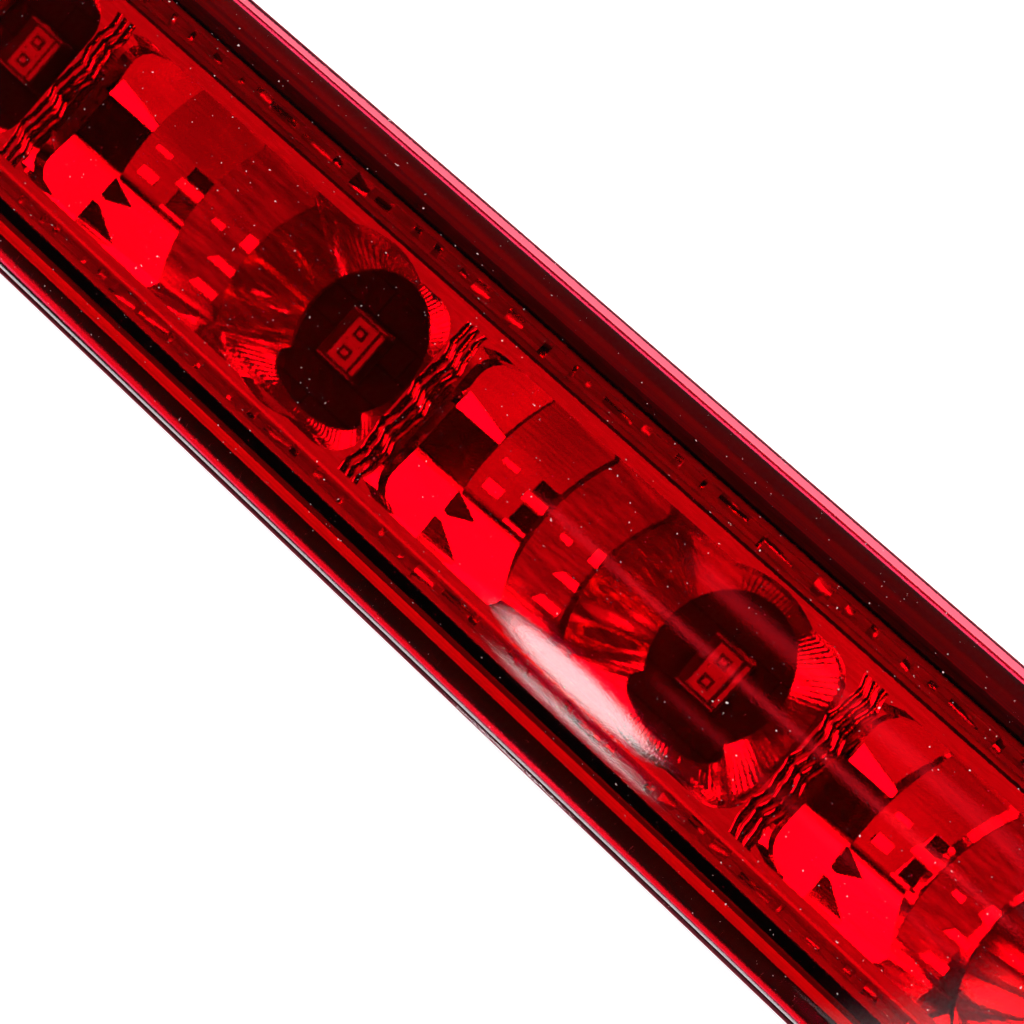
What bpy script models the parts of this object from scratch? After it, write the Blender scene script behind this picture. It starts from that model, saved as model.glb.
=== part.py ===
"""A third brake light: a long LED lamp under a red lens, screwed down by a tab at each end.

X runs along the lamp, Y across it and +Z out of the lens. The origin is at the middle of the back
face, which lies flat on the car body. Sizes are millimetres, and the helpers turn them into metres.
"""

import math

import bmesh
import bpy

MM = 0.001
GAP = 0.3  # clearance between pieces that rest on or fit inside each other

# The row of optical cells
CELLS = 10
PITCH = 30.0
HALF_ROW = CELLS * PITCH / 2
LED_FROM_CELL_START = 23.1
RIDGE = 1.0  # width of the wall between one cell and the next

# Heights above the back face
FLOOR_TOP = 3.0
BOARD_BOTTOM = 11.0
BOARD_THICKNESS = 1.6
BOARD_TOP = BOARD_BOTTOM + BOARD_THICKNESS
REFLECTOR_BOTTOM = BOARD_TOP + GAP
REFLECTOR_TOP = REFLECTOR_BOTTOM + 7.0
WALL_TOP = 12.0
LENS_TOP = 24.5

# Half widths across the lamp. The ends are half circles of these radii.
APERTURE_HALF = 5.95
BAND_HALF = 6.7
LEDGE_HALF = 8.6
WALL_INNER = 9.6
WALL_OUTER = 11.2
SKIRT_OUTER = 12.0
BOARD_HALF = 8.4

# The lens
LENS_WALL = 2.0
CROWN_RADIUS = 27.3
SHOULDER_RADIUS = 2.8
SHOULDER_OUTER = 10.8
SEAL_THICKNESS = 0.8
LENS_FOOT = WALL_TOP + 2 * GAP + SEAL_THICKNESS

# The end tabs
TAB_THICKNESS = 2.8
TAB_HALF = 8.0
TAB_HOLE_X = HALF_ROW + SKIRT_OUTER + 6.5
BUSH_INNER = 3.1
BUSH_OUTER = 4.1
BUSH_HEIGHT = 3.0

# The pocket of each cell: radii from the LED where one ring of the stepped bowl gives way to the next
HOLE_RADIUS = 4.2
RING_RADII = (HOLE_RADIUS, 9.1, 13.7, 18.7, 22.6)
RING_STEP = 0.45
BOWL_BOTTOM = REFLECTOR_BOTTOM + 0.5
BOWL_DEPTH_DIVISOR = 92.0  # four times the focal length of the bowl's mean parabola
POCKET_AHEAD = PITCH - LED_FROM_CELL_START - RIDGE / 2
POCKET_BOTTOM_HALF = 5.0
POCKET_CORNER = 1.8

# Fasteners
SCREW_SHAFT = 1.1
SCREW_HEAD = 1.9
SCREW_HEAD_HEIGHT = 1.5
SCREW_LENGTH = 7.5
PILOT_RADIUS = SCREW_SHAFT + GAP
BOSS_RADIUS = 2.6
CORE_FROM_RIDGE = 4.4  # middle of the hollow under the high end of each cell, from the ridge before it
BOARD_SCREWS_X = tuple(x + CORE_FROM_RIDGE for x in (-120.0, -30.0, 30.0, 120.0))
REFLECTOR_SCREWS_X = (-HALF_ROW - 5.0, HALF_ROW + 5.0)
LEDGE_BOTTOM = 15.4
LEDGE_TOP = 16.6

# The connector, under the first hollow to the right of the middle
CONNECTOR_X = CORE_FROM_RIDGE
CONNECTOR_SIZE = (12.0, 9.0)
CONNECTOR_WALL = 1.2
PIN_PITCH = 2.5
PIN_SIDE = 0.64
PIN_TIP = 5.4
CONNECTOR_SEAL_WIDTH = 1.0

VENT_X = 45.0
VENT_RADIUS = 3.1

TURN_STEPS = 32
HALF_TURN_STEPS = 12


def led_x(cell):
    return -HALF_ROW + cell * PITCH + LED_FROM_CELL_START


def material(name, colour, roughness, metallic=0.0, transmission=0.0):
    made = bpy.data.materials.new(name)
    made.use_nodes = True
    shader = made.node_tree.nodes["Principled BSDF"]
    shader.inputs["Base Color"].default_value = (*colour, 1.0)
    shader.inputs["Roughness"].default_value = roughness
    shader.inputs["Metallic"].default_value = metallic
    shader.inputs["Transmission Weight"].default_value = transmission
    return made


def placed(name, bm, looks):
    """A new object in the lamp's collection that holds the mesh."""
    mesh = bpy.data.meshes.new(name)
    bmesh.ops.recalc_face_normals(bm, faces=bm.faces)
    bm.to_mesh(mesh)
    bm.free()
    if looks:
        mesh.materials.append(looks)
    made = bpy.data.objects.new(name, mesh)
    PARTS.objects.link(made)
    return made


def smooth(piece, sharp_degrees=35):
    piece.data.shade_smooth()
    piece.data.set_sharp_from_angle(angle=math.radians(sharp_degrees))


def box(name, size, centre, looks=None):
    bm = bmesh.new()
    bmesh.ops.create_cube(bm, size=MM)
    bmesh.ops.scale(bm, vec=size, verts=bm.verts)
    bmesh.ops.translate(bm, vec=[c * MM for c in centre], verts=bm.verts)
    return placed(name, bm, looks)


def box_between(name, low, high, looks=None):
    size = [h - l for l, h in zip(low, high)]
    centre = [(h + l) / 2 for l, h in zip(low, high)]
    return box(name, size, centre, looks)


def cylinder(name, radius, bottom, top, x, y=0.0, steps=TURN_STEPS, looks=None):
    bm = bmesh.new()
    bmesh.ops.create_cone(
        bm, cap_ends=True, segments=steps, radius1=radius * MM, radius2=radius * MM, depth=(top - bottom) * MM
    )
    bmesh.ops.translate(bm, vec=(x * MM, y * MM, (top + bottom) / 2 * MM), verts=bm.verts)
    return placed(name, bm, looks)


def turned(name, profile, x, y=0.0, steps=TURN_STEPS, looks=None, closed=False):
    """A profile of (radius, height) points turned about a vertical axis at x, y."""
    bm = bmesh.new()
    points = [bm.verts.new((radius * MM, 0.0, height * MM)) for radius, height in profile]
    for start, end in zip(points, points[1:]):
        bm.edges.new((start, end))
    if closed:
        bm.edges.new((points[-1], points[0]))
    made = placed(name, bm, looks)
    made.location = (x * MM, y * MM, 0.0)
    screw = made.modifiers.new("turn", "SCREW")
    screw.steps = steps
    screw.render_steps = steps
    screw.use_merge_vertices = True
    screw.merge_threshold = 0.00001
    screw.use_smooth_shade = True
    return made


def racetrack(name, profile, looks=None, closed=False):
    """A profile of (half width, height) points swept once round the lamp: two straights and two half turns.

    A profile that starts and ends at half width 0 gives a body with no hole in its middle."""
    bm = bmesh.new()
    half_straight = HALF_ROW * MM
    points = [bm.verts.new((half_straight, half * MM, height * MM)) for half, height in profile]
    edges = [bm.edges.new(pair) for pair in zip(points, points[1:])]
    if closed:
        edges.append(bm.edges.new((points[-1], points[0])))
    geometry = points + edges
    for end in (half_straight, -half_straight):
        half_turn = bmesh.ops.spin(
            bm, geom=geometry, cent=(end, 0, 0), axis=(0, 0, 1), angle=-math.pi, steps=HALF_TURN_STEPS
        )
        edges = [item for item in half_turn["geom_last"] if isinstance(item, bmesh.types.BMEdge)]
        straight = bmesh.ops.extrude_edge_only(bm, edges=edges)["geom"]
        points = [item for item in straight if isinstance(item, bmesh.types.BMVert)]
        bmesh.ops.translate(bm, vec=(-2 * end, 0, 0), verts=points)
        there = set(points)
        edges = [e for e in straight if isinstance(e, bmesh.types.BMEdge) and there.issuperset(e.verts)]
        geometry = points + edges
    bmesh.ops.remove_doubles(bm, verts=bm.verts, dist=0.01 * MM)
    return placed(name, bm, looks)


def combine(piece, other, operation, solver="EXACT"):
    """A Boolean on the piece; the other object becomes a hidden helper."""
    step = piece.modifiers.new(other.name, "BOOLEAN")
    step.operation = operation
    step.solver = solver
    step.object = other
    PARTS.objects.unlink(other)
    HELPERS.objects.link(other)
    other.hide_render = True
    other.display_type = "WIRE"


def cut(piece, other):
    combine(piece, other, "DIFFERENCE")


def cut_closed(piece, other):
    """A cut where EXACT leaves open edges, as it does where a cutter's many slivers meet long flat faces."""
    combine(piece, other, "DIFFERENCE", "MANIFOLD")


def join(piece, other):
    combine(piece, other, "UNION")


def arc(centre, radius, start, end, steps):
    """Points on an arc, with angles in radians from the vertical towards +Y."""
    angles = [start + (end - start) * step / steps for step in range(steps + 1)]
    return [(centre[0] + radius * math.sin(a), centre[1] + radius * math.cos(a)) for a in angles]


def lens_cover():
    """The crowned red cover: an outer and an inner skin a wall apart, a flange and a skirt over the wall."""
    crown_centre = (0.0, LENS_TOP - CROWN_RADIUS)
    shoulder_half = SHOULDER_OUTER - SHOULDER_RADIUS
    meeting = math.asin(shoulder_half / (CROWN_RADIUS - SHOULDER_RADIUS))
    shoulder_height = crown_centre[1] + (CROWN_RADIUS - SHOULDER_RADIUS) * math.cos(meeting)
    shoulder_centre = (shoulder_half, shoulder_height)
    flange_top = LENS_FOOT + 1.6
    outer = arc(crown_centre, CROWN_RADIUS, 0, meeting, 5)[:-1]
    outer += arc(shoulder_centre, SHOULDER_RADIUS, meeting, math.pi / 2, 4)
    outer += [(SHOULDER_OUTER + 0.35, flange_top + 0.1), (SKIRT_OUTER - 0.4, flange_top)]
    outer += [(SKIRT_OUTER, flange_top - 0.4), (SKIRT_OUTER, LENS_FOOT - 2.0)]
    foot = [(WALL_OUTER + GAP, LENS_FOOT - 2.0), (WALL_OUTER + GAP, LENS_FOOT), (WALL_INNER - 0.3, LENS_FOOT)]
    inner = arc(shoulder_centre, SHOULDER_RADIUS - LENS_WALL, math.pi / 2, meeting, 2)
    inner += arc(crown_centre, CROWN_RADIUS - LENS_WALL, meeting, 0, 4)[1:]
    looks = material("red_lens", (0.75, 0.0, 0.01), 0.03, transmission=1.0)
    cover = racetrack("lens_cover", outer + foot + inner, looks)
    smooth(cover)
    return cover


def housing():
    """The black case: a tray with end tabs, bosses, a gasket groove and openings for the socket and vent."""
    looks = material("black_plastic", (0.012, 0.012, 0.013), 0.45)
    wall = [(WALL_OUTER, 0.6), (WALL_OUTER, WALL_TOP), (WALL_INNER, WALL_TOP), (WALL_INNER, FLOOR_TOP)]
    case = racetrack("housing", [(0.0, 0.0), (WALL_OUTER - 0.6, 0.0), *wall, (0.0, FLOOR_TOP)], looks)
    for side in (-1, 1):
        end_x = side * TAB_HOLE_X
        root_x = side * (HALF_ROW + 2.0)
        low = (min(end_x, root_x), -TAB_HALF, 0.0)
        high = (max(end_x, root_x), TAB_HALF, TAB_THICKNESS)
        tab = box_between("tab_plate", low, high)
        join(tab, cylinder("tab_end", TAB_HALF, 0.0, TAB_THICKNESS, end_x))
        join(case, tab)
        for y in (-4.5, 4.5):
            join(case, gusset(side, y))
        cut(case, cylinder("tab_hole", BUSH_OUTER + GAP, -1.0, TAB_THICKNESS + 1.0, end_x))
    for x in BOARD_SCREWS_X:
        join(case, cylinder("board_boss", BOSS_RADIUS, FLOOR_TOP - 1.0, BOARD_BOTTOM - GAP, x, steps=16))
        cut(case, cylinder("board_pilot", PILOT_RADIUS, FLOOR_TOP + 1.0, BOARD_BOTTOM, x, steps=12))
    for x in REFLECTOR_SCREWS_X:
        join(case, cylinder("reflector_boss", BOSS_RADIUS, FLOOR_TOP - 1.0, LEDGE_BOTTOM - GAP, x, steps=16))
        cut(case, cylinder("reflector_pilot", PILOT_RADIUS, FLOOR_TOP + 1.0, LEDGE_BOTTOM, x, steps=12))
    groove = [(BAND_HALF, -1.0), (BAND_HALF, 1.5), (WALL_INNER + 0.1, 1.5), (WALL_INNER + 0.1, -1.0)]
    cut(case, racetrack("gasket_groove", groove, closed=True))
    opening = [side + 2 * (CONNECTOR_SEAL_WIDTH + 2 * GAP) for side in CONNECTOR_SIZE]
    cut_closed(case, box("socket_opening", (*opening, 4 * FLOOR_TOP), (CONNECTOR_X, 0.0, 0.0)))
    cut_closed(case, cylinder("vent_hole", VENT_RADIUS + GAP, -1.0, FLOOR_TOP + 1.0, VENT_X))
    return case


def gusset(side, y):
    """A three-cornered rib between a tab and the end wall of the case."""
    thickness, height, reach = 1.2, 8.0, 4.2
    rib = bmesh.new()
    bmesh.ops.create_cube(rib, size=MM)
    bmesh.ops.scale(rib, vec=(reach, thickness, height - 1.0), verts=rib.verts)
    far_top = [v for v in rib.verts if v.co.x * side > 0 and v.co.z > 0]
    for corner in far_top:
        corner.co.z = (TAB_THICKNESS - height / 2) * MM
    start = HALF_ROW + WALL_OUTER - 1.8
    centre = (side * (start + reach / 2) * MM, y * MM, (height + 1.0) / 2 * MM)
    bmesh.ops.translate(rib, vec=centre, verts=rib.verts)
    return placed("gusset", rib, None)


def bowl_height(radius):
    """Height of the bowl's mean parabola."""
    return BOWL_BOTTOM + (radius**2 - HOLE_RADIUS**2) / BOWL_DEPTH_DIVISOR


def pocket(cell):
    """The space of one cell: a stepped bowl turned about its LED, cut off by the cell's four sloping walls."""
    top = REFLECTOR_TOP + 1.0
    profile = [(0.0, top), (RING_RADII[-1] + 3.0, top), (RING_RADII[-1] + 3.0, REFLECTOR_TOP)]
    for inner, outer in reversed(list(zip(RING_RADII, RING_RADII[1:]))):
        profile.append((outer, bowl_height(outer)))
        profile.append((inner, bowl_height(inner) + RING_STEP))
    profile += [(HOLE_RADIUS, REFLECTOR_BOTTOM - 1.0), (0.0, REFLECTOR_BOTTOM - 1.0)]
    x = led_x(cell)
    bowl = turned("bowl", profile, x)

    behind = RING_RADII[-1]
    walls = bmesh.new()
    bmesh.ops.create_cube(walls, size=MM)
    height = top - REFLECTOR_BOTTOM + 2.0
    bmesh.ops.scale(walls, vec=(behind + POCKET_AHEAD, 2 * APERTURE_HALF, height), verts=walls.verts)
    slope = (APERTURE_HALF - POCKET_BOTTOM_HALF) / (REFLECTOR_TOP - BOWL_BOTTOM)
    for corner in walls.verts:
        above = corner.co.z / MM + height / 2 + REFLECTOR_BOTTOM - 2.0 - REFLECTOR_TOP
        corner.co.y += math.copysign(slope * above * MM, corner.co.y)
    centre_x = x + (POCKET_AHEAD - behind) / 2
    bmesh.ops.translate(walls, vec=(centre_x * MM, 0, (top + REFLECTOR_BOTTOM - 2.0) / 2 * MM), verts=walls.verts)
    upright = [e for e in walls.edges if abs(e.verts[0].co.z - e.verts[1].co.z) > height / 2 * MM]
    bmesh.ops.bevel(
        walls, geom=upright, offset=POCKET_CORNER * MM, offset_type="OFFSET", segments=3, profile=0.5, affect="EDGES"
    )
    combine(bowl, placed("pocket_walls", walls, None), "INTERSECT")
    return bowl


def reflector():
    """The metallised moulding: a bar of stepped pockets on a thin ledge with an upturned lip."""
    looks = material("metallised_plastic", (0.86, 0.86, 0.87), 0.06, metallic=1.0)
    lip = [(LEDGE_HALF - 0.4, LEDGE_TOP), (LEDGE_HALF - 0.4, LEDGE_TOP + 0.8), (LEDGE_HALF, LEDGE_TOP + 0.8)]
    tray = racetrack("reflector", [(0.0, LEDGE_TOP), *lip, (LEDGE_HALF, LEDGE_BOTTOM), (0.0, LEDGE_BOTTOM)], looks)
    bar_low = (-HALF_ROW, -BAND_HALF, REFLECTOR_BOTTOM)
    join(tray, box_between("bar", bar_low, (HALF_ROW, BAND_HALF, REFLECTOR_TOP)))
    for cell in range(CELLS):
        cut_closed(tray, pocket(cell))
        core_x = -HALF_ROW + cell * PITCH + CORE_FROM_RIDGE
        cut_closed(tray, box("core", (7.2, 9.0, 5.0), (core_x, 0.0, REFLECTOR_BOTTOM)))
    for x in REFLECTOR_SCREWS_X:
        cut_closed(tray, cylinder("screw_hole", PILOT_RADIUS, LEDGE_BOTTOM - 1.0, LEDGE_TOP + 1.0, x, steps=16))
    return tray


def circuit_board():
    looks = material("solder_mask", (0.02, 0.05, 0.03), 0.4)
    low = (-HALF_ROW + 0.5, -BOARD_HALF, BOARD_BOTTOM)
    board = box_between("circuit_board", low, (HALF_ROW - 0.5, BOARD_HALF, BOARD_TOP), looks)
    for x in BOARD_SCREWS_X:
        cut(board, cylinder("board_hole", PILOT_RADIUS, BOARD_BOTTOM - 1.0, BOARD_TOP + 1.0, x, steps=16))
    for side in (-1, 1):
        x = CONNECTOR_X + side * PIN_PITCH / 2
        cut(board, cylinder("pin_hole", 0.8, BOARD_BOTTOM - 1.0, BOARD_TOP + 1.0, x, steps=12))
    return board


def led(cell, looks):
    """A surface-mount LED: a white package with a window sunk in its top."""
    bottom = BOARD_TOP + GAP
    x = led_x(cell)
    package = box(f"led_{cell + 1:02d}", (3.0, 3.6, 1.4), (x, 0.0, bottom + 0.7), looks)
    cut(package, box("window", (1.8, 2.9, 1.0), (x, 0.0, bottom + 1.4)))
    return package


def resistors():
    """One series resistor under the board for each LED."""
    looks = material("resistor_body", (0.02, 0.02, 0.025), 0.35)
    for cell in range(CELLS):
        centre = (led_x(cell) - 4.0, 4.0, BOARD_BOTTOM - GAP - 0.3)
        box(f"resistor_{cell + 1:02d}", (3.2, 1.6, 0.6), centre, looks)


def chip_part(name, size, x, y, looks):
    """A moulded block under the board with bevelled edges."""
    block = box(name, size, (x, y, BOARD_BOTTOM - GAP - size[2] / 2), looks)
    bevel = block.modifiers.new("edges", "BEVEL")
    bevel.width = 0.2 * MM
    bevel.segments = 1
    return block


def filter_capacitor():
    """A round can on a square base, hanging from the board."""
    looks = material("capacitor_can", (0.7, 0.7, 0.72), 0.3, metallic=1.0)
    top = BOARD_BOTTOM - GAP
    profile = [(0.0, top), (3.15, top), (3.15, top - 1.2), (2.95, top - 1.5), (3.15, top - 1.8)]
    profile += [(3.15, top - 5.1), (2.85, top - 5.4), (0.0, top - 5.4)]
    return turned("filter_capacitor", profile, -19.0, steps=20, looks=looks)


def screws(name, places, seat, looks):
    """Pan-head screws whose heads rest on the height seat."""
    neck = SCREW_SHAFT
    profile = [(0.0, seat + SCREW_HEAD_HEIGHT), (SCREW_HEAD - 0.4, seat + SCREW_HEAD_HEIGHT)]
    profile += [(SCREW_HEAD, seat + SCREW_HEAD_HEIGHT - 0.5), (SCREW_HEAD, seat), (neck, seat)]
    profile += [(neck, seat - SCREW_LENGTH + 1.0), (0.2, seat - SCREW_LENGTH), (0.0, seat - SCREW_LENGTH)]
    for number, x in enumerate(places, 1):
        turned(f"{name}_{number}", profile, x, steps=16, looks=looks)


def connector_shell():
    """A socket open at the back of the lamp, closed at the board but for its pins."""
    looks = material("socket_plastic", (0.03, 0.03, 0.03), 0.5)
    long, wide = CONNECTOR_SIZE
    low = (CONNECTOR_X - long / 2, -wide / 2, GAP)
    high = (CONNECTOR_X + long / 2, wide / 2, BOARD_BOTTOM - GAP)
    shell = box_between("connector_shell", low, high, looks)
    cavity_low = (low[0] + CONNECTOR_WALL, low[1] + CONNECTOR_WALL, -1.0)
    cavity_high = (high[0] - CONNECTOR_WALL, high[1] - CONNECTOR_WALL, high[2] - CONNECTOR_WALL)
    cut(shell, box_between("cavity", cavity_low, cavity_high))
    for side in (-1, 1):
        x = CONNECTOR_X + side * PIN_PITCH / 2
        pin_way = PIN_SIDE + 2 * GAP
        cut(shell, box("pin_way", (pin_way, pin_way, 6.0), (x, 0.0, high[2])))
    return shell


def connector_pins():
    looks = material("tinned_brass", (0.8, 0.75, 0.62), 0.25, metallic=1.0)
    top = BOARD_TOP + 0.8
    size = (PIN_SIDE, PIN_SIDE, top - PIN_TIP)
    for number, side in enumerate((-1, 1), 1):
        x = CONNECTOR_X + side * PIN_PITCH / 2
        box(f"connector_pin_{number}", size, (x, 0.0, (top + PIN_TIP) / 2), looks)


def connector_seal():
    looks = material("seal_rubber", (0.03, 0.03, 0.035), 0.8)
    inner = [side + 2 * GAP for side in CONNECTOR_SIZE]
    outer = [side + 2 * CONNECTOR_SEAL_WIDTH for side in inner]
    ring = box("connector_seal", (*outer, 2.0), (CONNECTOR_X, 0.0, 1.4), looks)
    cut(ring, box("seal_hole", (*inner, 4.0), (CONNECTOR_X, 0.0, 1.4)))
    return ring


def lens_seal():
    looks = material("sealing_bead", (0.02, 0.02, 0.02), 0.7)
    low, high = WALL_TOP + GAP, WALL_TOP + GAP + SEAL_THICKNESS
    inner, outer = WALL_INNER + 0.1, WALL_OUTER - 0.1
    return racetrack("lens_seal", [(inner, low), (inner, high), (outer, high), (outer, low)], looks, closed=True)


def back_gasket():
    looks = material("foam", (0.05, 0.05, 0.05), 0.95)
    inner, outer = BAND_HALF + GAP, WALL_INNER + 0.1 - GAP
    return racetrack("back_gasket", [(inner, 0.0), (inner, 1.2), (outer, 1.2), (outer, 0.0)], looks, closed=True)


def vent_plug():
    """A breather cap with a shallow dish in its outer face."""
    looks = material("vent_plastic", (0.25, 0.25, 0.26), 0.6)
    profile = [(0.0, FLOOR_TOP), (VENT_RADIUS, FLOOR_TOP), (VENT_RADIUS, GAP + 0.3), (VENT_RADIUS - 0.3, GAP)]
    profile += [(2.0, GAP), (1.8, GAP + 0.5), (0.0, GAP + 0.5)]
    return turned("vent_plug", profile, VENT_X, steps=24, looks=looks)


def mounting_bush(name, x, looks):
    profile = [(BUSH_INNER, BUSH_HEIGHT), (BUSH_OUTER, BUSH_HEIGHT), (BUSH_OUTER, 0.0), (BUSH_INNER, 0.0)]
    bush = turned(name, profile, x, looks=looks, closed=True)
    return bush


def main():
    reflector()
    housing()
    lens_cover()
    lens_seal()
    back_gasket()
    circuit_board()
    package = material("led_package", (0.8, 0.78, 0.7), 0.4)
    for cell in range(CELLS):
        led(cell, package)
    resistors()
    black_block = material("moulded_block", (0.02, 0.02, 0.02), 0.4)
    chip_part("polarity_diode", (4.3, 2.6, 2.2), 20.0, -3.0, black_block)
    chip_part("surge_suppressor", (5.0, 3.6, 2.3), 25.0, 3.5, black_block)
    filter_capacitor()
    connector_shell()
    connector_pins()
    connector_seal()
    vent_plug()
    steel = material("zinc_steel", (0.6, 0.6, 0.58), 0.3, metallic=1.0)
    screws("board_screw", BOARD_SCREWS_X, BOARD_TOP + GAP, steel)
    screws("reflector_screw", REFLECTOR_SCREWS_X, LEDGE_TOP + GAP, steel)
    mounting_bush("mounting_bush_left", -TAB_HOLE_X, steel)
    mounting_bush("mounting_bush_right", TAB_HOLE_X, steel)


for old in list(bpy.data.objects):
    bpy.data.objects.remove(old)
PARTS = bpy.data.collections.new("third_brake_light")
HELPERS = bpy.data.collections.new("cutters")
HELPERS.hide_render = True
for collection in (PARTS, HELPERS):
    bpy.context.scene.collection.children.link(collection)
main()
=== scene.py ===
"""Looks of the third brake light: red lens, stepped mirror pockets, LEDs, board, case and studio."""
import math
import random

import bmesh
import bpy
from mathutils import Matrix, Vector, noise


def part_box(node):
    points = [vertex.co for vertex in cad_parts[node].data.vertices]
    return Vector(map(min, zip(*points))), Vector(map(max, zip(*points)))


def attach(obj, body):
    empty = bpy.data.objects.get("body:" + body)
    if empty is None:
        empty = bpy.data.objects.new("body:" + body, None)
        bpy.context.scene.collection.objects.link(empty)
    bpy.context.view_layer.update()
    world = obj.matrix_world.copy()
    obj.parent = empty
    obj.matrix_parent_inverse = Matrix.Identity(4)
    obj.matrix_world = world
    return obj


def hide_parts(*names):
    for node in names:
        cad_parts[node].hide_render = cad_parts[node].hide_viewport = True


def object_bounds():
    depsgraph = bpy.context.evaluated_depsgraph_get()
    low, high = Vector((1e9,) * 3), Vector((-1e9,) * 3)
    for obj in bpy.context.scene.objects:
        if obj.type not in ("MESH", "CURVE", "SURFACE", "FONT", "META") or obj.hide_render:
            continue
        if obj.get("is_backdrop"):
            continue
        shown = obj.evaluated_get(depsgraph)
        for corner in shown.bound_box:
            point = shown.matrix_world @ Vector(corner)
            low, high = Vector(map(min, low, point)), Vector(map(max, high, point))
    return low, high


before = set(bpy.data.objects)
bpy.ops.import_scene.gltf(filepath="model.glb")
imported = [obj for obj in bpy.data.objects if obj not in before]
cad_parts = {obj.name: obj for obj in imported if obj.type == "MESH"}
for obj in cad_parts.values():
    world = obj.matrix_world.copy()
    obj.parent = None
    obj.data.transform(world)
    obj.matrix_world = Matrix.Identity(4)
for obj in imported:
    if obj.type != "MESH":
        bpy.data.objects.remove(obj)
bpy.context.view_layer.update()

MM = 0.001
ROOT = "root"


def box_mm(name):
    """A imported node's lowest and highest corners, in millimetres."""
    return [v / MM for v in map(Vector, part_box(name))]


# Sizes in millimetres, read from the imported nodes
BOTTOM, TOP = [corner.z for corner in box_mm("reflector")]
BOARD_TOP = box_mm("circuit_board")[1].z
LED_NODES = sorted(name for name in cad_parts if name.startswith("led_"))
LED_X = [sum(corner[0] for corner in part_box(name)) / 2 / MM for name in LED_NODES]
PITCH = (LED_X[-1] - LED_X[0]) / (len(LED_X) - 1)
HALF_ROW = PITCH * len(LED_X) / 2
LED_SHARE = (HALF_ROW - LED_X[-1]) / PITCH  # of a pitch from an LED to the end of its cell, towards +X

# The pocket of one cell, in millimetres from its LED. Behind is towards -X.
BEHIND, AHEAD = 21.3, 6.4
HOLE = 4.2  # half the length of the LED's opening
APERTURE = 5.45  # half width of the pocket in the bar's top
RING_RADII = (BEHIND, 18.0, 13.3, 9.1)  # outer radii of the three stepped rings, then the bowl's
ROW_EDGE = 1.95  # where a ring's middle row meets its side rows
BOWL_BOTTOM = BOTTOM + 0.5

# The bar that holds the pockets, and the lower tray round it
BAND = {1: 6.5, -1: 6.2}  # half width of the bar on its +Y and -Y side
EDGE = 0.2  # chamfer along the bar's top edges
LEDGE = 8.02  # half width of the tray, over its lip
LEDGE_TOP = 17.0  # height of the tray's floor
LEDGE_LOW = LEDGE_TOP - 0.5  # height of the tray where it meets the bar
TRAY_SHIFT = 0.28  # the tray sits this far towards +Y
WEDGES = 14  # small mirror steps in the tray beside each cell, on each side

# Material slots of the reflector and of the lens
MIRROR, BAND_SATIN, BOWL, TRAY_SATIN = range(4)
# The last three lens slots are painted shade (dark, dark red) and painted light (bright) on the lens's
# inside.
ACRYLIC, ACRYLIC_RIM, PAINTED_SHADE_DARK, PAINTED_SHADE_RED, PAINTED_LIGHT_BRIGHT = range(5)


# ---------------------------------------------------------------- materials

def new_material(name):
    """A node material, with its nodes, links and shader."""
    made = bpy.data.materials.new(name)
    made.use_nodes = True
    return made, made.node_tree.nodes, made.node_tree.links, made.node_tree.nodes["Principled BSDF"]


def coordinates(nodes, links, scale):
    """Object coordinates in millimetres, stretched by scale."""
    place = nodes.new("ShaderNodeTexCoord")
    mapping = nodes.new("ShaderNodeMapping")
    mapping.inputs["Scale"].default_value = [s / MM for s in scale]
    links.new(place.outputs["Object"], mapping.inputs["Vector"])
    return mapping.outputs["Vector"]


def noise_value(nodes, links, scale, detail=3.0, roughness=0.5):
    """Noise from 0 to 1, at a scale for each axis in cycles per millimetre."""
    texture = nodes.new("ShaderNodeTexNoise")
    texture.inputs["Scale"].default_value = 1.0
    texture.inputs["Detail"].default_value = detail
    texture.inputs["Roughness"].default_value = roughness
    links.new(coordinates(nodes, links, scale), texture.inputs["Vector"])
    return texture.outputs["Fac"]


def ramp(nodes, links, value, stops):
    """A colour ramp through (position, colour) stops."""
    made = nodes.new("ShaderNodeValToRGB")
    elements = made.color_ramp.elements
    while len(elements) < len(stops):
        elements.new(0.5)
    for element, (position, colour) in zip(elements, stops):
        element.position = position
        element.color = (*colour, 1.0)
    links.new(value, made.inputs["Fac"])
    return made.outputs["Color"]


def spread(nodes, links, value, low, high):
    """The value's 0 to 1 carried to low to high."""
    made = nodes.new("ShaderNodeMapRange")
    made.inputs["To Min"].default_value = low
    made.inputs["To Max"].default_value = high
    links.new(value, made.inputs["Value"])
    return made.outputs["Result"]


def bump(nodes, links, shader, height, distance_mm, strength=1.0, before=None):
    """Relief on a shader, laid over the normal before it. Returns the new normal."""
    made = nodes.new("ShaderNodeBump")
    made.inputs["Distance"].default_value = distance_mm * MM
    made.inputs["Strength"].default_value = strength
    links.new(height, made.inputs["Height"])
    if before:
        links.new(before, made.inputs["Normal"])
    links.new(made.outputs["Normal"], shader.inputs["Normal"])
    return made.outputs["Normal"]


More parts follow.
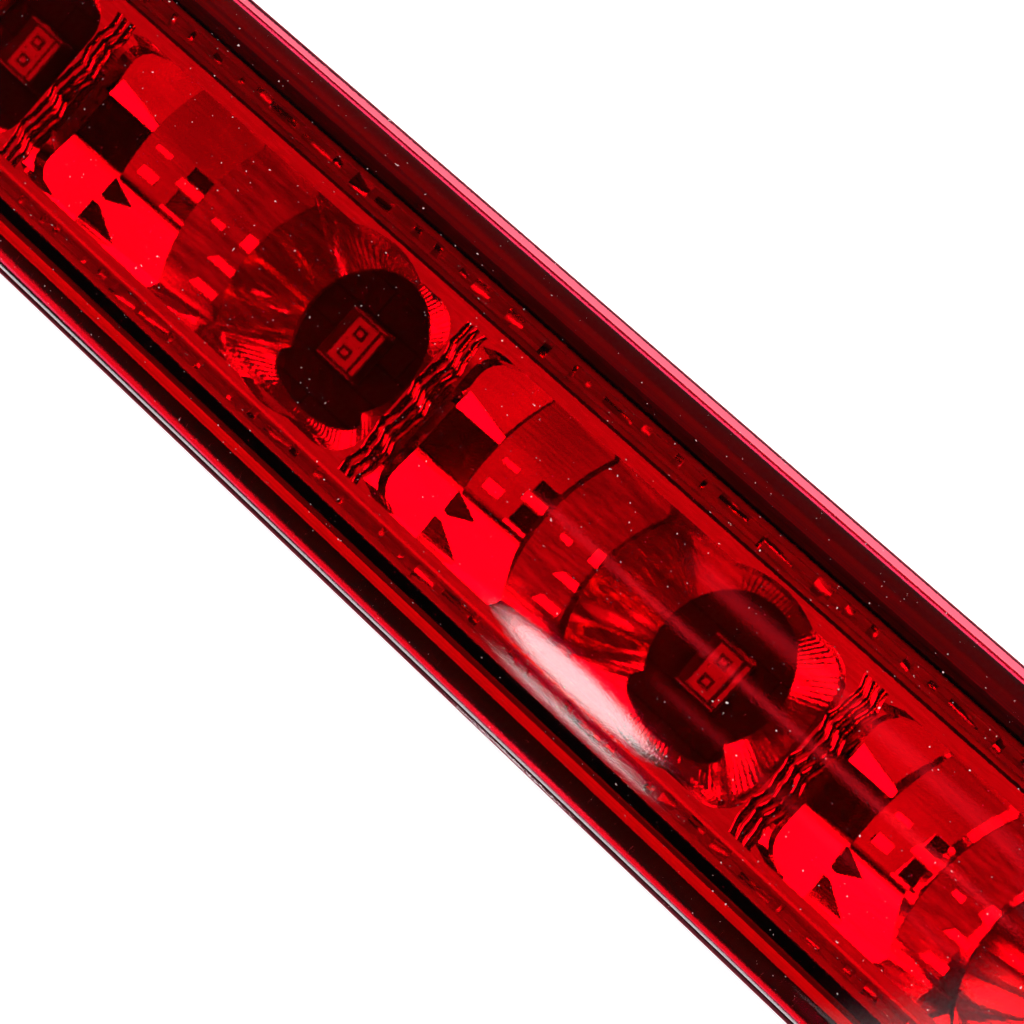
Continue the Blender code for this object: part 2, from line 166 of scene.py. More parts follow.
def red_plastic(name, colour):
    """Clear red acrylic with a fine grain and a few specks of dust."""
    made, nodes, links, shader = new_material(name)
    specks = noise_value(nodes, links, (4.5, 4.5, 4.5), 2.0, 0.5)
    dust = nodes.new("ShaderNodeMapRange")  # only the highest peaks of the noise are specks
    dust.inputs["From Min"].default_value = 0.735
    dust.inputs["From Max"].default_value = 0.76
    links.new(specks, dust.inputs["Value"])
    mix = nodes.new("ShaderNodeMix")
    mix.data_type = "RGBA"
    mix.inputs["A"].default_value = (*colour, 1.0)
    mix.inputs["B"].default_value = (0.85, 0.60, 0.60, 1.0)
    links.new(dust.outputs["Result"], mix.inputs["Factor"])
    links.new(mix.outputs["Result"], shader.inputs["Base Color"])
    links.new(spread(nodes, links, dust.outputs["Result"], 1.0, 0.4), shader.inputs["Transmission Weight"])
    shader.inputs["IOR"].default_value = 1.49
    links.new(spread(nodes, links, noise_value(nodes, links, (0.6, 0.6, 0.6), 5.0), 0.0, 0.04),
              shader.inputs["Roughness"])
    wide = noise_value(nodes, links, (3.0, 6.0, 6.0), 4.0, 0.6)
    soft = bump(nodes, links, shader, wide, 0.0012)
    fine = noise_value(nodes, links, (7.0, 11.0, 11.0), 2.0, 0.6)
    bump(nodes, links, shader, fine, 0.0016, before=soft)
    return made


def painted_light_and_shade(name, low, high):
    """Red layer on the inside of the lens, drawn out into fine lines along the lamp; its tone is painted
    shade and painted light.

    It touches the acrylic, so it has almost no gloss of its own.
    """
    made, nodes, links, shader = new_material(name)
    lines = noise_value(nodes, links, (0.008, 2.2, 2.2), 4.0, 0.7)
    links.new(ramp(nodes, links, lines, [(0.38, low), (0.62, high)]), shader.inputs["Base Color"])
    links.new(spread(nodes, links, lines, 0.4, 0.65), shader.inputs["Roughness"])
    shader.inputs["Specular IOR Level"].default_value = 0.04
    bump(nodes, links, shader, noise_value(nodes, links, (4.0, 4.0, 4.0), 3.0), 0.004)
    return made


def metallised(name, sheen, dark, light, rough, along, drag_mm):
    """Vacuum-metallised plastic, with faint drag lines along the lamp. A lower sheen is a duller face."""
    made, nodes, links, shader = new_material(name)
    shader.inputs["Metallic"].default_value = sheen
    tone = noise_value(nodes, links, (along, 2.2, 0.6), 5.0, 0.6)
    greys = [(0.32, (dark,) * 3), (0.65, (light,) * 3)]
    links.new(ramp(nodes, links, tone, greys), shader.inputs["Base Color"])
    links.new(spread(nodes, links, noise_value(nodes, links, (0.3, 3.0, 1.0), 3.0), *rough),
              shader.inputs["Roughness"])
    lines = noise_value(nodes, links, (along, 4.5, 1.0), 3.0, 0.55)
    bump(nodes, links, shader, lines, drag_mm)
    return made


def moulded(name, colour, rough, grain_mm=0.02, grain_size=0.25, wear=1.9):
    """Moulded or cured plastic: uneven tone, uneven gloss and a fine grain."""
    made, nodes, links, shader = new_material(name)
    tone = noise_value(nodes, links, (0.08, 0.2, 0.2), 5.0)
    lighter = tuple(c * wear + 0.003 for c in colour)
    links.new(ramp(nodes, links, tone, [(0.35, colour), (0.75, lighter)]), shader.inputs["Base Color"])
    links.new(spread(nodes, links, noise_value(nodes, links, (0.5, 0.5, 0.5), 4.0), *rough),
              shader.inputs["Roughness"])
    size = 1 / grain_size
    bump(nodes, links, shader, noise_value(nodes, links, (size, size, size), 3.0, 0.6), grain_mm)
    return made


def metal(name, colour, low, high, scale):
    """Plated or drawn metal with fine lines and small tarnish."""
    made, nodes, links, shader = new_material(name)
    shader.inputs["Metallic"].default_value = 1.0
    tarnished = tuple(c * 0.72 for c in colour)
    tone = noise_value(nodes, links, (0.6, 0.6, 0.6), 5.0)
    links.new(ramp(nodes, links, tone, [(0.3, tarnished), (0.7, colour)]), shader.inputs["Base Color"])
    lines = noise_value(nodes, links, scale, 3.0)
    links.new(spread(nodes, links, lines, low, high), shader.inputs["Roughness"])
    bump(nodes, links, shader, noise_value(nodes, links, scale, 2.0), 0.004)
    return made


def solder_mask():
    """Board lacquer over copper tracks, which show as a faint relief and a lighter tone."""
    made, nodes, links, shader = new_material("board_lacquer")
    tracks = nodes.new("ShaderNodeTexBrick")
    tracks.inputs["Scale"].default_value = 1.0
    tracks.inputs["Mortar Size"].default_value = 0.09
    tracks.inputs["Brick Width"].default_value = 7.5
    tracks.inputs["Row Height"].default_value = 2.1
    tracks.inputs["Color1"].default_value = (0.030, 0.030, 0.026, 1)
    tracks.inputs["Color2"].default_value = (0.045, 0.042, 0.036, 1)
    tracks.inputs["Mortar"].default_value = (0.012, 0.012, 0.011, 1)
    links.new(coordinates(nodes, links, (1, 1, 1)), tracks.inputs["Vector"])
    links.new(tracks.outputs["Color"], shader.inputs["Base Color"])
    gloss = noise_value(nodes, links, (1, 1, 1))
    links.new(spread(nodes, links, gloss, 0.25, 0.42), shader.inputs["Roughness"])
    bump(nodes, links, shader, tracks.outputs["Fac"], 0.03, 0.6)
    return made


# ---------------------------------------------------------------- mesh helpers

def piece(name, bm, materials, smooth_degrees=35):
    """A new object from a mesh in millimetres, riding on the lamp."""
    bmesh.ops.scale(bm, vec=(MM, MM, MM), verts=bm.verts)
    mesh = bpy.data.meshes.new(name)
    bm.to_mesh(mesh)
    bm.free()
    for made in materials:
        mesh.materials.append(made)
    mesh.shade_smooth()
    mesh.set_sharp_from_angle(angle=math.radians(smooth_degrees))
    made = bpy.data.objects.new(name, mesh)
    bpy.context.scene.collection.objects.link(made)
    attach(made, ROOT)
    return made


def grid(bm, rows):
    """Faces between rows of vertices of equal length."""
    faces = []
    for low, high in zip(rows, rows[1:]):
        for a, b, c, d in zip(low, low[1:], high[1:], high):
            faces.append(bm.faces.new((a, b, c, d)))
    return faces


def block(bm, centre, size, bevel, index, lean=(0.0, 0.0)):
    """A box with bevelled edges round a point. Its top may fall towards +X and +Y by a slope each."""
    made = bmesh.ops.create_cube(bm, size=1.0)["verts"]
    bmesh.ops.scale(bm, vec=size, verts=made)
    for v in made:
        if v.co.z > 0:
            v.co.z -= v.co.x * lean[0] + v.co.y * lean[1]
    bmesh.ops.translate(bm, vec=centre, verts=made)
    for face in {f for v in made for f in v.link_faces}:
        face.material_index = index
    edges = list({e for v in made for e in v.link_edges})
    bmesh.ops.bevel(bm, geom=edges, offset=bevel, segments=2, affect="EDGES", profile=0.5, material=-1)


def stitch(bm, first, second, index=0):
    """Triangles between two lines of vertices that run side by side, however many each has."""
    def share(line):
        """How far along the line each vertex lies, from 0 to 1."""
        steps = [0.0]
        for a, b in zip(line, line[1:]):
            steps.append(steps[-1] + (b.co.xy - a.co.xy).length + 1e-9)
        return [s / steps[-1] for s in steps]
    at_first, at_second = share(first), share(second)
    i = j = 0
    while i < len(first) - 1 or j < len(second) - 1:
        take_first = j == len(second) - 1 or (i < len(first) - 1 and at_first[i + 1] <= at_second[j + 1])
        corner = first[i + 1] if take_first else second[j + 1]
        trio = (first[i], corner, second[j])
        if len(set(trio)) == 3:
            bm.faces.new(trio).material_index = index
        if take_first:
            i += 1
        else:
            j += 1


def racetrack(profile, half_straight, turn_steps=48):
    """An open profile of (half width, height) points swept round the lamp: two half turns, two straights."""
    bm = bmesh.new()
    stations = []
    for side in (1, -1):
        for step in range(turn_steps + 1):
            angle = side * math.pi / 2 - math.pi * step / turn_steps
            stations.append((side * half_straight, angle))
    rings = []
    for centre_x, angle in stations:
        ring = []
        for half, height in profile:
            ring.append(bm.verts.new((centre_x + half * math.cos(angle), half * math.sin(angle), height)))
        rings.append(ring)
    for a, b in zip(rings, rings[1:] + rings[:1]):
        for k in range(len(profile) - 1):
            bm.faces.new((a[k], a[k + 1], b[k + 1], b[k]))
    bmesh.ops.remove_doubles(bm, verts=bm.verts, dist=0.0005)
    bmesh.ops.recalc_face_normals(bm, faces=bm.faces)
    return bm


def arc(centre, radius, start, end, steps):
    """Points on an arc, angles in radians from the vertical towards +Y."""
    angles = [start + (end - start) * step / steps for step in range(steps + 1)]
    return [(centre[0] + radius * math.sin(a), centre[1] + radius * math.cos(a)) for a in angles]


# ---------------------------------------------------------------- the reflector

# Slope of the rings towards their LED, and the tilt across of each ring's rows, in degrees.
# A row that leans towards +Y (more than 0) mirrors the key softbox, towards -Y the fill softbox, and a
# level one the dark gap between them. Outermost ring first, then the rows from -Y to +Y.
RING_SLOPE = math.tan(math.radians(25.0))
ROW_TILTS = ((12.0, 1.0, -12.0), (12.0, -8.0, -6.5), (-4.5, -6.0, -6.5))
FOCAL_LENGTH = 23.0  # of the parabola that the rings follow on average, in millimetres
BACK_SLOPE = 0.15  # of the bowl behind the LED
FLOOR_SHARE = 0.86  # of the way from the opening to the aperture, where the bowl's floor ends
AHEAD_DEGREES, BESIDE_DEGREES = 46, 20  # slope of the bowl's floor straight ahead of the LED and beside it
EASE_FROM = 1.75  # radians from +X, where the bowl's front starts to ease into the innermost ring


def mean_height(radius):
    """Height of that parabola at a distance from the LED."""
    return BOWL_BOTTOM + (radius**2 - HOLE**2) / (4 * FOCAL_LENGTH)


def across(ring, y):
    """How much the rows of one ring rise or fall at y, joined at the row edges."""
    low, middle, high = [math.tan(math.radians(tilt)) for tilt in ROW_TILTS[ring]]
    inside = max(-ROW_EDGE, min(ROW_EDGE, y))
    rise = -inside * middle
    if y > ROW_EDGE:
        rise -= (y - ROW_EDGE) * high
    elif y < -ROW_EDGE:
        rise -= (y + ROW_EDGE) * low
    return rise


def ring_height(ring, x, y):
    """Height of a ring's mirror at a point, kept just under the bar's top."""
    middle = (RING_RADII[ring] + RING_RADII[ring + 1]) / 2
    height = mean_height(middle) + (abs(x) - middle) * RING_SLOPE + across(ring, y)
    return min(height, TOP - 0.08)


# The pocket's half width where its side walls meet the mirror: (x, half width), from the bowl outwards
WALL_FOOT = ((-7.6, 4.75), (-13.0, 5.25), (-17.0, 5.45), (-30.0, 5.52))


def wall_foot(x):
    """The pocket's half width at its side walls' foot, for x behind the LED."""
    if x >= WALL_FOOT[0][0]:
        return WALL_FOOT[0][1]
    for (x0, y0), (x1, y1) in zip(WALL_FOOT, WALL_FOOT[1:]):
        if x >= x1:
            return y0 + (y1 - y0) * (x0 - x) / (x0 - x1)
    return WALL_FOOT[-1][1]


def end_line(y, reach, corner=1.8):
    """How far behind the LED the pocket's end lies, with its corners rounded."""
    over = min(corner, max(0.0, abs(y) - (APERTURE - corner)))
    return reach - corner + math.sqrt(corner**2 - over**2)


def hole_edge(angle):
    """Distance from the LED to the edge of its opening: an oval with a second lobe on the -Y side."""
    def ray(centre_y, half_x, half_y):
        """Distance to an oval's far edge along the angle, or 0 where the ray misses it."""
        cos, sin = math.cos(angle), math.sin(angle)
        a = (cos / half_x) ** 2 + (sin / half_y) ** 2
        b = -2 * centre_y * sin / half_y**2
        c = (centre_y / half_y) ** 2 - 1
        root = b * b - 4 * a * c
        return (-b + math.sqrt(root)) / (2 * a) if root >= 0 else 0.0
    return max(ray(0.35, HOLE, 4.85), ray(-3.55, 3.6, 1.6))


# Where the innermost ring's arc meets the side walls, and the angles to that foot and to the wall's top
ARC_FOOT = Vector((-math.sqrt(RING_RADII[3] ** 2 - WALL_FOOT[0][1] ** 2), WALL_FOOT[0][1]))
ARC_ANGLE = math.atan2(ARC_FOOT.y, ARC_FOOT.x)
WALL_TOP_ANGLE = math.atan2(APERTURE, ARC_FOOT.x)


def aperture_point(angle):
    """Where a ray at this angle from the LED meets the aperture's outline ahead of and beside the LED."""
    angle = angle * WALL_TOP_ANGLE / ARC_ANGLE
    cos, sin = math.cos(angle), math.sin(angle)
    reach = min(APERTURE / abs(sin) if abs(sin) > 1e-6 else 1e9, AHEAD / cos if cos > 1e-6 else 1e9)
    bulge = BAND[1 if sin > 0 else -1] - 0.4  # beside the LED the outline comes near the bar's edge
    reach = max(reach, bulge)
    place = Vector((cos * reach, sin * reach))
    corner = 2.3
    if place.x > AHEAD - corner and abs(place.y) > APERTURE - corner:
        middle = Vector((AHEAD - corner, math.copysign(APERTURE - corner, place.y)))
        place = middle + (place - middle).normalized() * corner
    return place


def flute(angle, seed):
    """Irregular radial fluting, -1 to 1."""
    wave = math.cos(angle * 120.0 + 1.3 * math.sin(angle * 7 + seed))
    return wave * (0.6 + 0.5 * noise.noise(Vector((angle * 9.0, seed, 0.0))))


def bowl_front(seed, steps=720):
    """The bowl ahead of and beside the LED: lines of points from the opening's edge up to the aperture.

    Each line has a fluted floor up to its middle point, then a steep wall with long waves.
    """
    arc_rise = (RING_RADII[3] - HOLE) * BACK_SLOPE
    lines = []
    for step in range(steps + 1):
        angle = -ARC_ANGLE + 2 * ARC_ANGLE * step / steps
        edge = Vector((math.cos(angle), math.sin(angle))) * hole_edge(angle)
        top = aperture_point(angle)
        near_arc = max(0.0, (abs(angle) - EASE_FROM) / (ARC_ANGLE - EASE_FROM)) ** 2
        side = Vector((ARC_FOOT.x, math.copysign(ARC_FOOT.y, angle)))
        middle = edge.lerp(top, FLOOR_SHARE).lerp(side, near_arc)
        degrees = AHEAD_DEGREES + (BESIDE_DEGREES - AHEAD_DEGREES) * abs(math.sin(angle))
        rise = (middle - edge).length * math.tan(math.radians(degrees))
        middle_height = BOWL_BOTTOM + rise + (arc_rise - rise) * near_arc
        ripple = flute(angle, seed) * (1 - 0.6 * near_arc)
        line = []
        for k in range(6):
            share = k / 5
            place = edge.lerp(middle, share)
            height = BOWL_BOTTOM + (middle_height - BOWL_BOTTOM) * share
            fluting = 0.022 * math.sin(math.pi * (0.1 + 0.8 * share)) * ripple
            line.append((place.x, place.y, height + fluting))
        for k in range(1, 8):
            share = k / 7
            place = middle.lerp(top, share)
            wave = 0.12 * math.sin(share * 16.0 + 1.5 * math.sin(angle * 9.0) + seed) * (1 - near_arc)
            push = 0.04 * ripple * (1 - share) + wave * math.sin(math.pi * share)
            place = place - (place - edge).normalized() * push
            line.append((place.x, place.y, middle_height + (TOP - middle_height) * share))
        lines.append(line)
    return lines


def bowl_back(seed, steps=240):
    """The bowl behind the LED: lines of points from the opening's edge to the innermost ring.

    Its flutes are fine, apart from a few broad ones on its -Y side.
    """
    lines = []
    for step in range(steps + 1):
        angle = ARC_ANGLE + 2 * (math.pi - ARC_ANGLE) * step / steps
        edge = hole_edge(angle)
        ripple = flute(angle, seed)
        low_side = max(0.0, math.cos(angle - math.radians(208))) ** 8
        line = []
        for k in range(12):
            share = k / 11
            radius = edge + (RING_RADII[3] - edge) * share
            height = BOWL_BOTTOM + max(0.0, radius - HOLE) * BACK_SLOPE
            fine = 0.004 * math.sin(math.pi * share) * (1 - 0.5 * share) * ripple
            broad = 0.16 * low_side * math.sin(math.pi * share) * math.cos(angle * 17 + 0.6)
            line.append((math.cos(angle) * radius, math.sin(angle) * radius, height + fine + broad))
        lines.append(line)
    return lines


def ring_rows(ring, cuts=8):
    """The three rows of a ring, each as lines of points along Y, from the ring's outer edge inwards."""
    outer, inner = RING_RADII[ring], RING_RADII[ring + 1]
    rows = []
    for side in (-1, 0, 1):
        lines = []
        for cut in range(cuts + 1):
            share = cut / cuts
            foot = wall_foot(-(outer + (inner - outer) * share))
            low, high = {-1: (-foot, -ROW_EDGE), 0: (-ROW_EDGE, ROW_EDGE), 1: (ROW_EDGE, foot)}[side]
            line = []
            for column in range(cuts + 1):
                y = low + (high - low) * column / cuts
                far = end_line(y, outer) if ring == 0 else math.sqrt(outer**2 - y**2)
                x = -(far + (math.sqrt(inner**2 - y**2) - far) * share)
                line.append((x, y, ring_height(ring, x, y)))
            lines.append(line)
        rows.append(lines)
    return rows


# Small raised facets on the rings: ring, tilt across in degrees, then corners as (share of the way
# from the ring's outer to its inner radius, y)
PADS = (
    (0, 12.0, ((0.05, 1.5), (1.0, 1.5), (1.0, 2.0), (0.05, 2.7))),
    (1, 1.0, ((0.66, 0.70), (0.97, 0.70), (0.97, 1.65), (0.66, 1.65))),
    (1, 1.0, ((0.66, -1.45), (0.97, -1.45), (0.97, -0.1), (0.66, -0.1))),
    (1, 8.0, ((0.60, 0.02), (0.96, 0.02), (0.96, 0.58), (0.60, 0.58))),
    (1, 9.0, ((0.60, -1.72), (0.96, -1.72), (0.96, -1.52), (0.60, -1.52))),
    (1, 9.0, ((0.16, 0.9), (0.38, 0.9), (0.38, 1.2), (0.16, 1.2))),
    (1, 9.0, ((0.16, -1.0), (0.40, -1.0), (0.40, -0.35), (0.16, -0.35))),
    (1, 1.0, ((0.02, -2.05), (0.40, -2.85), (0.10, -3.6), (0.02, -3.5))),
    (1, 1.0, ((0.02, -4.0), (0.10, -4.0), (0.55, -5.35), (0.02, -5.45))),
    (2, 9.0, ((0.80, -0.2), (0.97, -0.2), (0.97, 0.75), (0.80, 0.75))),
    (2, 9.0, ((0.55, -2.1), (0.97, -2.1), (0.97, -1.6), (0.65, -1.6))),
    (2, 9.0, ((0.55, -4.0), (0.97, -4.0), (0.97, -3.45), (0.62, -3.45))),
    (2, 9.0, ((0.30, -0.2), (0.48, -0.3), (0.48, 0.1), (0.30, 0.1))),
)


def pad(bm, x0, ring, tilt, corners):
    """One raised facet: a flat top leaning by tilt, with short sides down into the ring."""
    outer, inner = RING_RADII[ring], RING_RADII[ring + 1]
    lean = math.tan(math.radians(tilt))
    places = [(-(outer + (inner - outer) * share), y) for share, y in corners]
    ground = [ring_height(ring, x, y) for x, y in places]
    plane = [-x * RING_SLOPE - y * lean for x, y in places]
    lift = max(g - p for g, p in zip(ground, plane)) + 0.02
    top = [bm.verts.new((x0 + x, y, p + lift)) for (x, y), p in zip(places, plane)]
    low = [bm.verts.new((x0 + x, y, g - 0.05)) for (x, y), g in zip(places, ground)]
    bm.faces.new(top)
    for k in range(len(top)):
        n = (k + 1) % len(top)
        bm.faces.new((low[k], low[n], top[n], top[k]))


def ridge_beads(bm, x0, seed):
    """Low wavy beads that run across the lamp on the ridge between two cells."""
    for bead in range(3):
        offset = AHEAD + 0.32 + 0.58 * bead
        radius = 0.27 + 0.03 * math.sin(seed + bead)
        sections = []
        for step in range(41):
            y = (APERTURE + 0.1) * (step / 20 - 1)
            x = x0 + offset + 0.12 * math.sin(y * 1.9 + seed) + 0.05 * math.sin(y * 4.3 + bead)
            section = []
            for turn in range(9):
                angle = math.pi * turn / 8
                height = TOP - 0.07 + 0.5 * radius * math.sin(angle)
                section.append((x + radius * math.cos(angle), y, height))
            sections.append([bm.verts.new(place) for place in section])
        grid(bm, sections)


def pocket(bm, x0, seed):
    """One cell's mirror surface. Returns the vertices of its aperture's outline, in order round it."""
    def verts(lines):
        """Vertices for lines of points, moved to this cell."""
        return [[bm.verts.new((x0 + x, y, z)) for x, y, z in line] for line in lines]

    rings = [[verts(lines) for lines in ring_rows(ring)] for ring in range(3)]
    for rows in rings:
        for row in rows:
            for face in grid(bm, row):
                face.material_index = BOWL if rows is rings[-1] else MIRROR
        for low, high in zip(rows, rows[1:]):
            stitch(bm, [line[-1] for line in low], [line[0] for line in high])
    for outer, inner in zip(rings, rings[1:]):
        for a, b in zip(outer, inner):
            stitch(bm, a[-1], b[0], BOWL)
    front, back = verts(bowl_front(seed)), verts(bowl_back(seed))
    for face in grid(bm, front):
        face.material_index = BOWL
    for face in grid(bm, back):
        face.material_index = BOWL
    inner_edge = [v for row in rings[-1] for v in row[-1]]
    stitch(bm, inner_edge, [line[-1] for line in reversed(back)])

    walls = {}  # the top edge of the pocket's side walls, by side
    for side in (1, -1):
        foot = [line[-1 if side > 0 else 0] for rows in rings for line in rows[1 + side]]
        walls[side] = [bm.verts.new((v.co.x, side * APERTURE, TOP)) for v in foot]
        stitch(bm, foot, walls[side])
    end_foot = [v for row in rings[0] for v in row[0]]
    end_half, end_top = [], []
    for v in end_foot:
        y = v.co.y * APERTURE / wall_foot(-BEHIND)
        end_half.append(bm.verts.new((x0 - end_line(y, BEHIND) - 0.35, y, v.co.z * 0.35 + TOP * 0.65)))
        end_top.append(bm.verts.new((x0 - end_line(y, BEHIND + 1.3), y, TOP)))
    stitch(bm, end_foot, end_half)
    stitch(bm, end_half, end_top)
    for corners in PADS:
        pad(bm, x0, *corners)
    ridge_beads(bm, x0, seed)
    opening = [line[0] for line in front] + [line[0] for line in back][1:-1]
    below = [bm.verts.new((v.co.x, v.co.y, BOTTOM)) for v in opening]
    for k in range(len(below)):
        n = (k + 1) % len(below)
        bm.faces.new((opening[k], opening[n], below[n], below[k])).material_index = BOWL
    return [line[-1] for line in front] + list(reversed(walls[1])) + list(reversed(end_top)) + walls[-1]


def reflector(materials):
    """The upper part of the metallised moulding: ten pockets in a bar."""
    bm = bmesh.new()
    for number, x0 in enumerate(LED_X):
        outline = []
        for v in pocket(bm, x0, number * 3.7):
            if not outline or (v.co - outline[-1].co).length > 1e-4:
                outline.append(v)
        start, end = x0 + PITCH * (LED_SHARE - 1), x0 + PITCH * LED_SHARE
        low, high = EDGE - BAND[-1], BAND[1] - EDGE
        places = ((end, low), (end, high), (start, high), (start, low))
        corners = [bm.verts.new((x, y, TOP)) for x, y in places]
        edges = []
        for line in (outline, corners):
            for a, b in zip(line, line[1:] + line[:1]):
                edges.append(bm.edges.get((a, b)) or bm.edges.new((a, b)))
        filled = bmesh.ops.triangle_fill(bm, use_beauty=True, use_dissolve=False, edges=edges)
        for face in filled["geom"]:
            if isinstance(face, bmesh.types.BMFace):
                face.material_index = BAND_SATIN
    bar_sides(bm)
    bmesh.ops.remove_doubles(bm, verts=bm.verts, dist=0.001)
    bmesh.ops.recalc_face_normals(bm, faces=bm.faces)
    return piece("reflector_pockets", bm, materials, 25)


def bar_sides(bm):
    """The bar's chamfered top edges and its side and end faces down into the tray."""
    for side in (1, -1):
        heights = ((BAND[side] - EDGE, TOP), (BAND[side], TOP - EDGE), (BAND[side], LEDGE_LOW))
        for index, (a, b) in zip((MIRROR, TRAY_SATIN), zip(heights, heights[1:])):
            ends = ((a, -HALF_ROW), (a, HALF_ROW), (b, HALF_ROW), (b, -HALF_ROW))
            bm.faces.new([bm.verts.new((x, side * y, z)) for (y, z), x in ends]).material_index = index
        outline = [(-BAND[-1], LEDGE_LOW), (BAND[1], LEDGE_LOW), (BAND[1], TOP - EDGE),
                   (BAND[1] - EDGE, TOP), (EDGE - BAND[-1], TOP), (-BAND[-1], TOP - EDGE)]
        end_face = bm.faces.new([bm.verts.new((side * HALF_ROW, y, z)) for y, z in outline])
        end_face.material_index = BAND_SATIN


def tray_wedges(bm, channel_middle, index):
    """Small leaning mirror steps along both sides of the tray, of seeded random sizes and places."""
    chooser = random.Random(11)
    for x0 in LED_X:
        for side in (1, -1):
            for part in range(WEDGES):
                x = x0 - BEHIND + (part + chooser.uniform(0.2, 0.8)) * PITCH / WEDGES
                length = chooser.choice((0.3, 0.6, 1.2, 2.2))
                height = chooser.uniform(0.4, 0.7)
                width = chooser.uniform(0.3, 1.1)
                y = side * (channel_middle - chooser.uniform(-0.1, 0.35))
                along = chooser.choice((0.02, 0.45, 0.5))
                aside = chooser.uniform(0.12, 0.3) * chooser.choice((-1, 1))
                place = (x, y, LEDGE_TOP - 0.3 + height / 2)
                block(bm, place, (length, width, height), 0.03, index, (along, aside))


def reflector_tray(materials):
    """The lower tray round the bar: a rib, a groove, a channel with small steps, and an upturned lip."""
    plain, shiny, mirror = range(3)
    rib, groove, lip = LEDGE_TOP + 0.1, LEDGE_TOP - 0.3, LEDGE_TOP + 0.6
    under_bar, channel_start, channel_end = 5.8, 7.22, LEDGE - 0.45
    profile = [(under_bar, LEDGE_LOW), (6.62, LEDGE_LOW), (6.68, rib), (6.95, rib), (7.0, groove),
               (7.18, groove), (channel_start, LEDGE_TOP), (channel_end, LEDGE_TOP),
               (LEDGE - 0.40, lip - 0.08), (LEDGE - 0.34, lip), (LEDGE - 0.08, lip), (LEDGE, lip - 0.08),
               (LEDGE, LEDGE_TOP - 1.2)]
    bm = racetrack(profile, HALF_ROW)
    for face in bm.faces:
        height = face.calc_center_median().z
        face.material_index = shiny if height > lip - 0.06 or abs(height - rib) < 0.01 else plain
    for side in (1, -1):
        centre = bm.verts.new((side * HALF_ROW, 0, LEDGE_LOW))
        rim = []
        for step in range(25):
            angle = math.pi * (step / 24 - 0.5)
            x = side * (HALF_ROW + under_bar * math.cos(angle))
            rim.append(bm.verts.new((x, under_bar * math.sin(angle), LEDGE_LOW)))
        for a, b in zip(rim, rim[1:]):
            bm.faces.new((centre, a, b))
    tray_wedges(bm, (channel_start + channel_end) / 2, mirror)
    bmesh.ops.translate(bm, vec=(0, TRAY_SHIFT, 0), verts=bm.verts)
    bmesh.ops.recalc_face_normals(bm, faces=bm.faces)
    return piece("reflector_tray", bm, materials, 25)


# ---------------------------------------------------------------- the lens

def lens(materials):
    """The crowned cover with its walls, flange and skirt.

    The flange and skirt are paler. A red layer on the inside of both shoulders is painted shade on the +Y
    side and painted light on the -Y side. Painted dark red shade also covers the +Y wall, and a line beside
    the crown on the -Y side.
    """
    lens_low, lens_high = box_mm("lens_cover")
    crown_radius, shoulder_radius, shoulder_outer, wall = 27.3, 2.8, 10.8, 2.0
    wall_foot_half, skirt_inner = 9.3, 11.5
    crown = (0.0, lens_high.z - crown_radius)
    shoulder_half = shoulder_outer - shoulder_radius
    meeting = math.asin(shoulder_half / (crown_radius - shoulder_radius))
    shoulder = (shoulder_half, crown[1] + (crown_radius - shoulder_radius) * math.cos(meeting))
    skirt_outer = lens_high.y
    skirt_bottom = lens_low.z
    foot = skirt_bottom + 2.0
    flange = foot + 1.6
    outer = arc(crown, crown_radius, 0, meeting, 24)[:-1]
    outer += arc(shoulder, shoulder_radius, meeting, math.pi / 2, 14)
    outer += [(shoulder_outer + 0.34, flange + 0.06), (shoulder_outer + 0.40, flange)]
    top_round, bottom_round = 0.10, 0.12
    rim = arc((skirt_outer - top_round, flange - top_round), top_round, 0, math.pi / 2, 3)
    bottom_corner = (skirt_outer - bottom_round, skirt_bottom + bottom_round)
    rim += arc(bottom_corner, bottom_round, math.pi / 2, math.pi, 3)
    rim += [(skirt_inner, skirt_bottom), (skirt_inner, foot)]
    inner = [(wall_foot_half, foot)]
    inner += arc(shoulder, shoulder_radius - wall, math.pi / 2, meeting, 8)
    inner += arc(crown, crown_radius - wall, meeting, 0, 24)[1:]
    bm = racetrack(outer + rim + inner, HALF_ROW)
    arc_top = shoulder[1] + shoulder_radius - wall
    arc_edge = shoulder_half + (shoulder_radius - wall) * math.sin(meeting)
    crown_foot = crown[1] + crown_radius * math.cos(meeting)
    for face in bm.faces:
        centre = face.calc_center_median()
        off_end = max(0.0, abs(centre.x) - HALF_ROW)
        half = math.hypot(centre.y, off_end)
        if half > shoulder_outer + 0.35 and centre.z < flange + 0.02:
            face.material_index = ACRYLIC_RIM
        # Painted shade: dark on the +Y shoulder, dark red on the +Y wall and on a line beside the crown on
        # the -Y side. Painted light: bright on the -Y shoulder.
        elif half < wall_foot_half + 0.02 and centre.z < arc_top:
            on_arc = centre.z > shoulder[1]
            if centre.y > 0:
                face.material_index = PAINTED_SHADE_DARK if on_arc else PAINTED_SHADE_RED
            elif on_arc:
                face.material_index = PAINTED_LIGHT_BRIGHT
        elif shoulder_half < half < arc_edge and centre.y < 0 and centre.z < crown_foot:
            face.material_index = PAINTED_SHADE_RED
    made = piece("red_lens", bm, materials, 30)
    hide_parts("lens_cover")


# ---------------------------------------------------------------- LEDs and the rest

